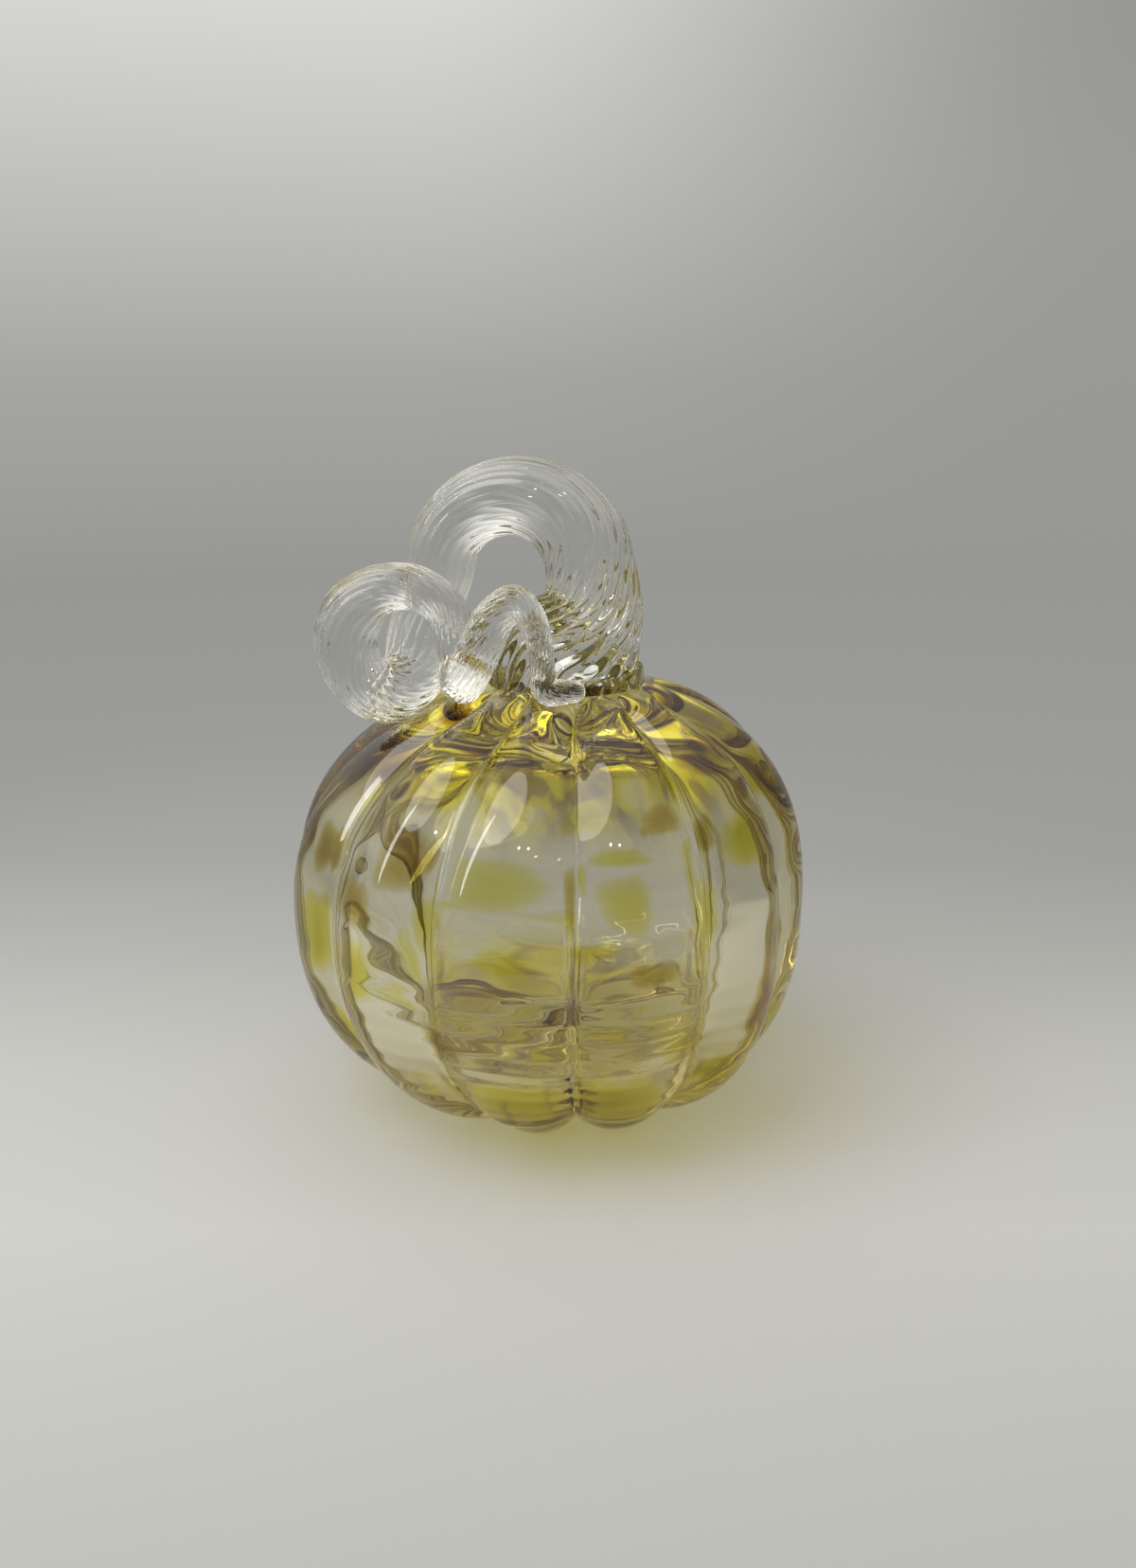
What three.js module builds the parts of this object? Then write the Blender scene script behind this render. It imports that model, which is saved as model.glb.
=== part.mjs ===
// A blown glass pumpkin: a ribbed clear body with yellow and amber colour chips melted between its
// two gathers, and a twisted clear stem that is drawn into a high loop, a side curl and a tendril.
// Millimetres, +Z up, the front of the pumpkin faces -Y, the origin is on the floor under its middle.
import * as THREE from 'three';

// Body, over the lobes
const bodyRadius = 75;
const equatorHeight = 62.5;
const crownRise = 63;
const upperFullness = 2.27;
const lowerFullness = 2.5;
const crownLean = 6;
const footLean = 5;

// Lobes
const lobeCount = 12;
const lobeTurn = 6;
const valleyDepth = 5;
const lobeRoundness = 2.2;
const valleyRunOut = 12;

// Foot: the lobe bottoms are ground flat and the middle of the floor is pushed up
const footRadius = 26;
const footWidth = 8;
const footGround = 3.6;
const kickRise = 9;
const kickRadius = 30;

// Walls and layers
const casingWall = 2.4;
const chipThickness = 0.8;
const clearance = 0.35;
const bubbleWall = 1.8;
const crownGlass = 8;
const footGlass = 7;

// Neck, where the blowpipe was cracked off and the stem was laid on
const neckRadius = 23.5;
const blowHoleRadius = 13;

// Stem
const stemBaseRadius = 22.5;
const stemRibs = 20;
const baseRibDepth = 0.075;
const ribDepth = 0.05;
const baseTwist = 0.85;
const loopTwist = 0.08;
const tendrilTwist = 0.2;
const loopRadius = 21.5;
const loopRise = 30;
const loopOffset = 14.5;
const loopBack = 5;
const loopRodRadius = 10.4;
const curlRadius = 15;
const curlRise = 13.5;
const curlOut = 45.5;
const curlForward = 12;
const curlTilt = 1.5;
const curlRodRadius = 8.6;
const tendrilRise = 26;
const tendrilForward = 26;
const tendrilSpan = 24;
const tendrilRodRadius = 5.9;
const tipRodRadius = 3.1;

const TURN = 2 * Math.PI;
const radians = THREE.MathUtils.degToRad;
const smooth = THREE.MathUtils.smoothstep;
const mix = THREE.MathUtils.lerp;

// The body's layers, as depths below the lobe crests
const casingInset = valleyDepth + casingWall;
const chipInset = casingInset + clearance;
const bubbleInset = chipInset + chipThickness + clearance;
const hollowInset = bubbleInset + bubbleWall;

const clearGlass = { color: 0xe9edea, roughness: 0.03, metalness: 0, transparent: true, opacity: 0.35 };
const yellowGlass = { color: 0xd9cf1e, roughness: 0.05, metalness: 0, transparent: true, opacity: 0.6 };
const amberGlass = { color: 0xa8823c, roughness: 0.05, metalness: 0, transparent: true, opacity: 0.65 };

const pumpkin = new THREE.Group();
pumpkin.name = 'glass_pumpkin';

function addPiece(name, geometry, finish) {
  const piece = new THREE.Mesh(geometry, new THREE.MeshStandardMaterial(finish));
  piece.name = name;
  pumpkin.add(piece);
}

// One closed skin from a first pole, through rings of points, to a last pole. Neighbouring rings
// have as many points as each other, or the first has twice as many as the second.
function skin(firstPole, rings, lastPole) {
  const points = [firstPole, ...rings.flat(), lastPole];
  const faces = [];
  const starts = [];
  let next = 1;
  for (const ring of rings) {
    starts.push(next);
    next += ring.length;
  }
  const corner = (k, i) => starts[k] + (i % rings[k].length);
  for (let i = 0; i < rings[0].length; i++) {
    faces.push(0, corner(0, i + 1), corner(0, i));
  }
  for (let k = 0; k + 1 < rings.length; k++) {
    const halved = rings[k].length === 2 * rings[k + 1].length;
    for (let i = 0; i < rings[k + 1].length; i++) {
      if (halved) {
        faces.push(corner(k, 2 * i), corner(k, 2 * i + 1), corner(k + 1, i));
        faces.push(corner(k, 2 * i + 1), corner(k + 1, i + 1), corner(k + 1, i));
        faces.push(corner(k, 2 * i + 1), corner(k, 2 * i + 2), corner(k + 1, i + 1));
      } else {
        faces.push(corner(k, i), corner(k, i + 1), corner(k + 1, i + 1));
        faces.push(corner(k, i), corner(k + 1, i + 1), corner(k + 1, i));
      }
    }
  }
  const last = rings.length - 1;
  for (let i = 0; i < rings[last].length; i++) {
    faces.push(corner(last, i), corner(last, i + 1), points.length - 1);
  }
  const geometry = new THREE.BufferGeometry().setFromPoints(points);
  geometry.setIndex(faces);
  geometry.computeVertexNormals();
  return geometry;
}

// Body shape. Latitude runs from -90 degrees at the floor's middle to 90 at the crown, and a layer
// is the crest outline drawn in by its inset.
function outline(inset, latitude) {
  const upper = latitude > 0;
  const fullness = upper ? upperFullness : lowerFullness;
  const reach = upper ? crownRise : equatorHeight + footGround;
  const radius = (bodyRadius - inset) * Math.abs(Math.cos(latitude)) ** (2 / fullness);
  const rise = (reach - inset) * Math.abs(Math.sin(latitude)) ** (2 / fullness);
  if (upper) {
    return { radius, height: equatorHeight + rise };
  }
  const kickAngle = Math.PI * Math.min(radius / kickRadius, 1);
  const kick = kickRise * (1 + Math.cos(kickAngle)) / 2;
  return { radius, height: equatorHeight + kick - rise };
}

// The latitude at which a layer has a given radius, above or below the equator
function latitudeAt(inset, radius, upper) {
  const fullness = upper ? upperFullness : lowerFullness;
  const angle = Math.acos((radius / (bodyRadius - inset)) ** (fullness / 2));
  return upper ? angle : -angle;
}

// The body sags a little to one side of its poles, as one does that cools on a turning pipe
function leanAt(height) {
  const upper = height > equatorHeight;
  const share = (height - equatorHeight) / (upper ? crownRise : equatorHeight);
  return (upper ? crownLean : footLean) * share * share;
}

// Azimuth runs from the front (-Y) towards +X
function bodyPoint(radius, height, azimuth) {
  const x = radius * Math.sin(azimuth) + leanAt(height);
  return new THREE.Vector3(x, -radius * Math.cos(azimuth), height);
}

function ringOf(count, pointAt) {
  return Array.from({ length: count }, (_, i) => pointAt(i / count * TURN + radians(lobeTurn)));
}

// The lobes' crests stand on the outline, and the valleys between them are drawn in square to it
function lobedPoint(latitude, azimuth) {
  const here = outline(0, latitude);
  const above = outline(0, latitude + 0.01);
  const below = outline(0, Math.max(latitude - 0.01, -Math.PI / 2));
  const run = Math.hypot(above.radius - below.radius, above.height - below.height);
  const outward = (above.height - below.height) / run;
  const upward = (below.radius - above.radius) / run;
  const phase = ((azimuth - radians(lobeTurn)) / TURN * lobeCount % 1) * 2 - 1;
  const toNeck = latitude > 0 ? smooth(here.radius, neckRadius, neckRadius + valleyRunOut) : 1;
  const toMiddle = latitude > 0 ? 1 : smooth(here.radius, 0, footRadius);
  const depth = valleyDepth * toNeck * toMiddle * Math.abs(phase) ** lobeRoundness;
  const height = here.height - upward * depth;
  return bodyPoint(here.radius - outward * depth, Math.max(height, 0), azimuth);
}

// Outer casing: the second gather, ribbed outside, smooth inside, open at the blow hole
const columnsPerLobe = 6;
const casingColumns = lobeCount * columnsPerLobe;
const innerColumns = casingColumns / 2;
const outerRings = 20;
const innerRings = 20;
const neckLatitude = latitudeAt(0, neckRadius, true);
const neckHeight = outline(0, neckLatitude).height;
const innerRadius = footRadius - footWidth / 2;
const outerRadius = footRadius + footWidth / 2;

function outerCasingRings() {
  const floorRadii = [innerRadius / 3, innerRadius * 2 / 3, innerRadius, outerRadius];
  const latitudes = floorRadii.map((radius) => latitudeAt(0, radius, false));
  const start = latitudes[latitudes.length - 1];
  for (let k = 1; k <= outerRings; k++) {
    latitudes.push(mix(start, neckLatitude, k / outerRings));
  }
  const ringAt = (latitude) => ringOf(casingColumns, (azimuth) => lobedPoint(latitude, azimuth));
  return latitudes.map(ringAt);
}

// A layer without lobes. insetAt gives its depth below the crests at each latitude.
function smoothRings(insetAt, columns, rings, holeRadius) {
  const top = latitudeAt(insetAt(Math.PI / 2), holeRadius, true);
  const bottom = -Math.PI / 2;
  const flare = 1 / Math.cos(Math.PI / columns);
  const list = [];
  for (let k = 0; k < rings; k++) {
    const latitude = mix(top, bottom, k / rings);
    const { radius, height } = outline(insetAt(latitude), latitude);
    list.push(ringOf(columns, (azimuth) => bodyPoint(radius * flare, height, azimuth)));
  }
  return list;
}

function poleOf(inset) {
  return bodyPoint(0, outline(inset, -Math.PI / 2).height, 0);
}

const holeRim = ringOf(casingColumns, (azimuth) => bodyPoint(blowHoleRadius, neckHeight, azimuth));
const casingInner = smoothRings(() => casingInset, innerColumns, innerRings, blowHoleRadius);
const casing = skin(poleOf(0), [...outerCasingRings(), holeRim, ...casingInner], poleOf(casingInset));
addPiece('outer_casing', casing, clearGlass);

// Inner bubble: the first gather, blown thin, with its neck standing in the blow hole
const bubbleRings = 14;
const neckOuterRadius = blowHoleRadius - clearance - chipThickness - clearance;
const neckInnerRadius = neckOuterRadius - bubbleWall;

function neckRing(radius) {
  return ringOf(innerColumns, (azimuth) => bodyPoint(radius, neckHeight, azimuth));
}

// The hollow leaves more glass at the neck, which was jacked narrow, and in the foot
function hollowAt(latitude) {
  const crown = crownGlass * smooth(latitude, 0.85, 1.4);
  const foot = footGlass * smooth(-latitude, 0.85, 1.45);
  return hollowInset + crown + foot;
}

const bubbleOuter = smoothRings(() => bubbleInset, innerColumns, bubbleRings, neckOuterRadius).reverse();
const bubbleInner = smoothRings(hollowAt, innerColumns, bubbleRings, neckInnerRadius);
const bubbleShell = [...bubbleOuter, neckRing(neckOuterRadius), neckRing(neckInnerRadius), ...bubbleInner];
const hollowPole = poleOf(hollowAt(-Math.PI / 2));
addPiece('inner_bubble', skin(poleOf(bubbleInset), bubbleShell, hollowPole), clearGlass);

// Colour chips: crushed coloured glass, melted flat between the two gathers. Each row gives the
// azimuth and latitude of a chip's middle in degrees, then its width and length.
const yellowChips = [
  [-12, 20, 20, 14],
  [17, 26.5, 13, 4.5],
  [18, 15, 13, 13],
  [37, 9, 12, 18],
  [-68, -3, 14, 22],
  [57, 24, 13, 14],
  [10, 4, 13, 5],
  [-9, 2, 13, 7],
  [-27, 8, 8, 15],
  [-35, 46, 19, 15],
  [8, 37.5, 14, 7],
  [39, 47, 15, 11],
  [17, 51, 14, 11],
  [-8, 50, 14, 10],
  [-12, -40, 22, 12],
  [18, -40, 22, 12],
  [32, -20, 12, 8],
  [84, 36, 15, 13],
  [-49, -6, 15, 17],
  [-70, -30, 14, 13],
  [56, -40, 15, 10],
  [-175, 33, 24, 14],
  [144, 40, 18, 13],
  [-148, -16, 18, 22],
  [-174, -34, 22, 12],
  [160, -14, 20, 15],
  [-110, 28, 20, 18],
  [108, 8, 18, 22],
  [-94, -26, 18, 18],
  [-152, 46, 18, 10],
  [108, -38, 19, 12],
  [18, 68, 15, 10],
  [-22, 68, 15, 10],
  [106, 67, 17, 11],
  [62, 68, 17, 11],
  [-10, -62, 16, 9],
  [22, -62, 16, 9],
];
const amberChips = [
  [-36, 23, 13, 17],
  [-47, 9.5, 12, 12],
  [5, 18, 4, 14],
  [24, -1, 14, 6],
  [28, 35, 10, 7],
  [42, 29, 7, 9],
  [69, -4, 8, 11],
  [64, -20, 11, 20],
  [63, 49, 14, 12],
  [-66, 18, 9, 11],
  [-90, 47, 16, 11],
  [175, 4, 22, 12],
  [129, 22, 15, 13],
  [-126, 4, 16, 16],
  [-158, 15, 14, 9],
  [-24, -18, 12, 8],
  [152, 68, 18, 11],
  [-62, 46, 15, 12],
  [-64, 67, 17, 11],
  [-135, -62, 16, 9],
];
const chipSides = 9;
const chipRings = 2;

// A chip's edge is a rounded, uneven blob, and its two faces follow the layer that it lies in
function chipGeometry([azimuth, latitude, width, length], index) {
  const middle = radians(latitude);
  const here = outline(chipInset, middle);
  const above = outline(chipInset, middle + 0.01);
  const perLatitude = Math.hypot(above.radius - here.radius, above.height - here.height) / 0.01;
  const facePoint = (inset, share, angle) => {
    const uneven = 0.12 * Math.cos(2 * angle + index) + 0.08 * Math.cos(3 * angle + 2 * index);
    const reach = share * (1 + uneven);
    const along = width / 2 * reach * Math.cos(angle) / here.radius;
    const up = length / 2 * reach * Math.sin(angle) / perLatitude;
    const { radius, height } = outline(inset, middle + up);
    return bodyPoint(radius, height, radians(azimuth) + along);
  };
  const faceRings = (inset) => Array.from({ length: chipRings }, (_, k) => Array.from(
    { length: chipSides },
    (_unused, i) => facePoint(inset, (k + 1) / chipRings, i / chipSides * TURN),
  ));
  const back = chipInset + chipThickness;
  const rings = [...faceRings(back), ...faceRings(chipInset).reverse()];
  return skin(facePoint(back, 0, 0), rings, facePoint(chipInset, 0, 0));
}

function addChips(name, chips, finish) {
  chips.forEach((chip, index) => {
    const number = String(index + 1).padStart(2, '0');
    addPiece(`${name}_${number}`, chipGeometry(chip, index), finish);
  });
}

addChips('yellow_chip', yellowChips, yellowGlass);
addChips('amber_chip', amberChips, amberGlass);

// Height of the lobe crests over the floor under a point of the shoulder
function shoulderHeight(x, y) {
  let height = neckHeight;
  for (let k = 0; k < 8; k++) {
    const radius = Math.min(Math.hypot(x - leanAt(height), y), bodyRadius);
    const drop = 1 - (radius / bodyRadius) ** upperFullness;
    height = equatorHeight + crownRise * drop ** (1 / upperFullness);
  }
  return height;
}

// Stem route, from the middle of its base to its tip, as points with the rod's radius at each
const stemX = leanAt(neckHeight);
const stemZ = neckHeight + clearance;
const route = [];

function passThrough(x, y, rise, radius) {
  route.push({ x: stemX + x, y, z: stemZ + rise, radius });
}

// A point where the rod lies on the shoulder
function restOn(x, y, radius) {
  const seat = shoulderHeight(stemX + x, y) + radius + clearance;
  route.push({ x: stemX + x, y, z: seat, radius });
}

function stemBase() {
  const swing = loopRadius - loopOffset;
  passThrough(0, 0, 0, stemBaseRadius);
  passThrough(0, 0, 0.2 * loopRise, stemBaseRadius * 0.95);
  passThrough(swing * 0.6, 0, 0.45 * loopRise, mix(stemBaseRadius, loopRodRadius, 0.36));
  passThrough(swing * 1.03, 0, 0.73 * loopRise, mix(stemBaseRadius, loopRodRadius, 0.64));
}

function highLoop() {
  for (const degrees of [0, 30, 60, 90, 120, 150, 180]) {
    const angle = radians(degrees);
    const swell = 1 + 0.24 * Math.cos(angle / 2) ** 4 - 0.06 * Math.sin(angle / 2) ** 4;
    const x = loopRadius * Math.cos(angle) - loopOffset;
    const rise = loopRise + loopRadius * Math.sin(angle);
    passThrough(x, loopBack * degrees / 180, rise, loopRodRadius * swell);
  }
}

function curlPoint(degrees, radius) {
  const angle = radians(degrees);
  const x = curlRadius * Math.cos(angle) - curlOut;
  const y = -curlForward - curlTilt * Math.cos(angle - radians(215));
  passThrough(x, y, curlRise + curlRadius * Math.sin(angle), radius);
}

function sideCurl() {
  const legX = -loopRadius - loopOffset;
  passThrough(legX - 3, loopBack - 0.5, loopRise - 9, loopRodRadius * 0.92);
  passThrough(legX - 5.5, loopBack - 3.5, loopRise - 18, loopRodRadius * 0.9);
  const handover = mix(loopRise - 18, curlRise - curlRadius, 0.72);
  passThrough(legX - 7.5, loopBack - 9.5, handover, loopRodRadius * 0.86);
  for (const degrees of [252, 218, 182, 146]) {
    curlPoint(degrees, curlRodRadius);
  }
  curlPoint(112, mix(curlRodRadius, tendrilRodRadius, 0.6));
  curlPoint(76, mix(curlRodRadius, tendrilRodRadius, 0.85));
  for (const degrees of [40, 5]) {
    curlPoint(degrees, tendrilRodRadius);
  }
}

function tendril() {
  const left = -curlOut + curlRadius;
  const right = left + tendrilSpan;
  passThrough(left + 1.2, -curlForward, 8, tendrilRodRadius);
  restOn(left + 2, -mix(curlForward, tendrilForward, 0.48), tendrilRodRadius);
  passThrough(left + 5, -tendrilForward, 8.5, tendrilRodRadius);
  passThrough(left + 8, -tendrilForward - 0.5, 15, tendrilRodRadius);
  passThrough(left + 11.5, -tendrilForward, tendrilRise - 4, tendrilRodRadius * 0.94);
  passThrough(left + 0.7 * tendrilSpan, -tendrilForward, tendrilRise, tendrilRodRadius * 0.84);
  passThrough(right - 2.6, -tendrilForward - 0.5, tendrilRise - 4.5, tendrilRodRadius * 0.7);
  passThrough(right - 0.3, -tendrilForward - 1, tendrilRise - 12, tipRodRadius * 1.12);
  passThrough(right + 0.3, -tendrilForward - 1.5, tendrilRise - 18.5, tipRodRadius * 1.1);
  restOn(right + 1.6, -tendrilForward - 2, tipRodRadius * 1.25);
  restOn(right + 8.5, -tendrilForward - 0.8, tipRodRadius);
}

stemBase();
highLoop();
sideCurl();
tendril();

// The stem is one ribbed rod carried along the route. Its ribs wind steeply at the base, which was
// turned most, and run nearly straight along the loop and the curl.
const stemRings = 92;
const baseShare = 0.22;

function twistAt(share) {
  const pastBase = smooth(share, 0, baseShare);
  const pastLoop = smooth(share, 0.36, 0.5);
  return mix(mix(baseTwist, loopTwist, pastBase), tendrilTwist, pastLoop);
}

function stemGeometry() {
  const centreLine = new THREE.CatmullRomCurve3(
    route.map(({ x, y, z }) => new THREE.Vector3(x, y, z)), false, 'catmullrom', 0.5,
  );
  centreLine.arcLengthDivisions = 1000;
  const girth = new THREE.SplineCurve(route.map(({ radius }, i) => new THREE.Vector2(i, radius)));
  const frames = centreLine.computeFrenetFrames(stemRings, false);
  const step = centreLine.getLength() / stemRings;
  const corners = 2 * stemRibs;
  const rings = [];
  let twist = 0;
  for (let k = 0; k <= stemRings; k++) {
    const centre = centreLine.getPointAt(k / stemRings);
    const radius = girth.getPoint(centreLine.getUtoTmapping(k / stemRings)).y;
    const depth = mix(baseRibDepth, ribDepth, smooth(k / stemRings, 0, baseShare));
    const ring = [];
    for (let i = 0; i < corners; i++) {
      const angle = i / corners * TURN + twist;
      const reach = radius * (i % 2 === 0 ? 1 : 1 - depth);
      const point = centre.clone();
      point.addScaledVector(frames.normals[k], reach * Math.cos(angle));
      point.addScaledVector(frames.binormals[k], reach * Math.sin(angle));
      ring.push(point);
    }
    rings.push(ring);
    twist += twistAt(k / stemRings) * step / radius;
  }
  rings[0].forEach((point) => point.setZ(stemZ));
  const tip = centreLine.getPointAt(1).addScaledVector(frames.tangents[stemRings], tipRodRadius * 0.5);
  return skin(centreLine.getPointAt(0), rings, tip);
}

addPiece('stem', stemGeometry(), clearGlass);

export default pumpkin;
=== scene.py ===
import bpy
import numpy as np
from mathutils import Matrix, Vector


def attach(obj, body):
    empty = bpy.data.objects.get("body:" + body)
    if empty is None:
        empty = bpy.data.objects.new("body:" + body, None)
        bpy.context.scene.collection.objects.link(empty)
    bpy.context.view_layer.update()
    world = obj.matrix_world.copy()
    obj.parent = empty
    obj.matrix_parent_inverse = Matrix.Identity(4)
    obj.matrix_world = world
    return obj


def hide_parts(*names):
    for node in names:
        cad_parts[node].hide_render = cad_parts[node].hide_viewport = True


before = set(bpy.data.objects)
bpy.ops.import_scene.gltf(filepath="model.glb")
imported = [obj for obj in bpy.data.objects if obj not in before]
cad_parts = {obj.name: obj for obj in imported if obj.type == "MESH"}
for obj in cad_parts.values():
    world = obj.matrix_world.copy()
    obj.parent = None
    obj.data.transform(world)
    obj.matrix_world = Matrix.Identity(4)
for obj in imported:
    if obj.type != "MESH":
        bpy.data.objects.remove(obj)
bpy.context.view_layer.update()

# Blown body

# The body is two gathers of clear soda-lime glass, blown as one bubble in a ribbed mould and then
# swelled, so that lobes stand out between creases. Its inside is smoother and wavers, and more glass
# is left at the neck and in the foot, where colour from the chips has run into it.
BODY_RADIUS = 0.07488
EQUATOR = 0.0625
CROWN_RISE = 0.063
FOOT_GROUND = 0.0036
UPPER_FULLNESS = 2.27
LOWER_FULLNESS = 2.5
CROWN_LEAN = 0.006
FOOT_LEAN = 0.005
KICK_RISE = 0.009
KICK_RADIUS = 0.030
LOBES = 12
LOBE_TURN = np.radians(6)
CREASE_DEPTH = 0.005
LOBE_ROUNDNESS = 2.2
CREASE_SOFTNESS = 0.08
NECK_RADIUS = 0.0223
CREASE_RUN_OUT = 0.0132
FOOT_RADIUS = 0.026
WALL_INSET = 0.0107
INNER_CREASE = 0.0019
# The wall thickens by these depths, between these latitudes in radians
CROWN_GLASS = 0.009
CROWN_THICKENS = (0.85, 1.4)
FOOT_GLASS = 0.008
FOOT_THICKENS = (0.85, 1.45)
HOLE_RADIUS = 0.010
RIPPLE_HEIGHT = 0.00006
RIPPLE_SPACING = 0.0075
UNEVENNESS = 0.00012
WANDER = 0.02
WANDER_WAVES = (19, 31)
# The colour comes in over these heights, in streaks whose noise has these scales round and up
STREAKS = 5.0
STREAK_RISE = 12.0
CROWN_COLOUR = {"From Min": 0.088, "From Max": 0.107}
FOOT_COLOUR = {"From Min": 0.028, "From Max": 0.008}
STREAK_COLOURS = [
    (0.35, (0.96, 0.93, 0.76, 1)), (0.43, (0.95, 0.90, 0.14, 1)), (0.52, (0.82, 0.72, 0.02, 1)),
    (0.58, (0.30, 0.21, 0.07, 1)),
]
SKIN_WAVES = 45.0
SKIN_WAVE_HEIGHT = 0.00004
BODY_TINT = (0.72, 0.61, 0.0)
BODY_DENSITY = 19.0
BODY_SHADE = (0.93, 0.93, 0.905)
AROUND = 360
OUTER_ROWS = 130
NECK_ROWS = 6
INNER_ROWS = 135
LATITUDE_STEP = 0.01
BODY_EDGE = np.radians(35)


def smooth_step(value, low, high):
    """0 up to low, 1 from high on, and 3t^2 - 2t^3 between them, with t the share of the way. Where
    high is the lower of the two, the step falls."""
    t = np.clip((value - low) / (high - low), 0, 1)
    return t * t * (3 - 2 * t)


def outline(inset, latitude):
    """Radius and height of the body's profile, drawn in by inset: a superellipse above the equator
    and another below it, whose lower middle is pushed up by half a cosine wave."""
    upper = latitude > 0
    power = 2 / np.where(upper, UPPER_FULLNESS, LOWER_FULLNESS)
    reach = np.where(upper, CROWN_RISE, EQUATOR + FOOT_GROUND)
    radius = (BODY_RADIUS - inset) * np.abs(np.cos(latitude)) ** power
    rise = (reach - inset) * np.abs(np.sin(latitude)) ** power
    kick = KICK_RISE / 2 * (1 + np.cos(np.pi * np.minimum(radius / KICK_RADIUS, 1)))
    return radius, EQUATOR + np.where(upper, rise, kick - rise)


def latitude_at(inset, radius, upper):
    """Latitude at which the profile has this radius, from the superellipse turned round."""
    fullness = UPPER_FULLNESS if upper else LOWER_FULLNESS
    angle = np.arccos((radius / (BODY_RADIUS - inset)) ** (fullness / 2))
    return angle if upper else -angle


def lean_at(height):
    """Sideways shift of the body's axis: the square of the height's share above or below the equator."""
    upper = height > EQUATOR
    share = (height - EQUATOR) / np.where(upper, CROWN_RISE, EQUATOR)
    return np.where(upper, CROWN_LEAN, FOOT_LEAN) * share * share


def body_points(radius, height, azimuth):
    """Points at a radius round the leaning axis, with azimuth 0 at the front (-Y)."""
    x = radius * np.sin(azimuth) + lean_at(height)
    return np.stack(np.broadcast_arrays(x, -radius * np.cos(azimuth), height), -1)


def lobed_points(inset, crease, latitude, azimuth):
    """The outline drawn in, square to itself, by the crease's depth times the distance from the
    lobe's crest to a power, rounded off at the crease, less near the neck and under the foot."""
    radius, height = outline(inset, latitude)
    above = outline(inset, latitude + LATITUDE_STEP)
    below = outline(inset, np.maximum(latitude - LATITUDE_STEP, -np.pi / 2))
    run = np.hypot(above[0] - below[0], above[1] - below[1])
    outward = (above[1] - below[1]) / run
    upward = (below[0] - above[0]) / run
    phase = ((azimuth - LOBE_TURN) / (2 * np.pi) * LOBES % 1) * 2 - 1
    from_crease = np.hypot(1 - np.abs(phase), CREASE_SOFTNESS)
    to_neck = smooth_step(radius, NECK_RADIUS - inset, NECK_RADIUS - inset + CREASE_RUN_OUT)
    to_middle = smooth_step(radius, 0, FOOT_RADIUS)
    fade = np.where(latitude > 0, to_neck, to_middle)
    depth = crease * fade * np.maximum(1 - from_crease, 0) ** LOBE_ROUNDNESS
    lobed = np.maximum(height - upward * depth, 0)
    return body_points(radius - outward * depth, lobed, azimuth)


def grid_mesh(name, rows, first_pole, last_pole):
    """A closed skin: a pole, rows of points that each close on themselves, and a last pole. Rows
    run so that the faces point outwards."""
    count, around = rows.shape[:2]
    points = np.concatenate([[first_pole], rows.reshape(-1, 3), [last_pole]])
    row, column = np.meshgrid(np.arange(count - 1), np.arange(around), indexing="ij")
    corner = 1 + row * around + column
    beside = 1 + row * around + (column + 1) % around
    quads = np.stack([corner, beside, beside + around, corner + around], -1).reshape(-1, 4)
    here = np.arange(around)
    after = (here + 1) % around
    last = 1 + (count - 1) * around
    first_fan = np.stack([np.zeros(around, int), 1 + after, 1 + here], -1)
    last_fan = np.stack([last + here, last + after, np.full(around, len(points) - 1)], -1)
    mesh = bpy.data.meshes.new(name)
    mesh.from_pydata(points.tolist(), [], quads.tolist() + first_fan.tolist() + last_fan.tolist())
    mesh.polygons.foreach_set("use_smooth", np.ones(len(mesh.polygons), bool))
    return mesh


def add_piece(name, mesh, materials, slot, *nodes):
    """Links a mesh as a piece of the object that stands for these CAD nodes."""
    piece = bpy.data.objects.new(name, mesh)
    bpy.context.scene.collection.objects.link(piece)
    for material in materials:
        mesh.materials.append(material)
    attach(piece, "root")
    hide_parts(*nodes)


def node_in(tree, kind, **settings):
    """Adds a shader node and fills its sockets and properties by name."""
    node = tree.nodes.new(kind)
    for key, value in settings.items():
        if key in node.inputs:
            node.inputs[key].default_value = value
        else:
            setattr(node, key, value)
    return node


def new_material(name):
    """An empty node material, its tree and its output node."""
    material = bpy.data.materials.new(name)
    material.use_nodes = True
    tree = material.node_tree
    tree.nodes.clear()
    return material, tree, tree.nodes.new("ShaderNodeOutputMaterial")


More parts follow.
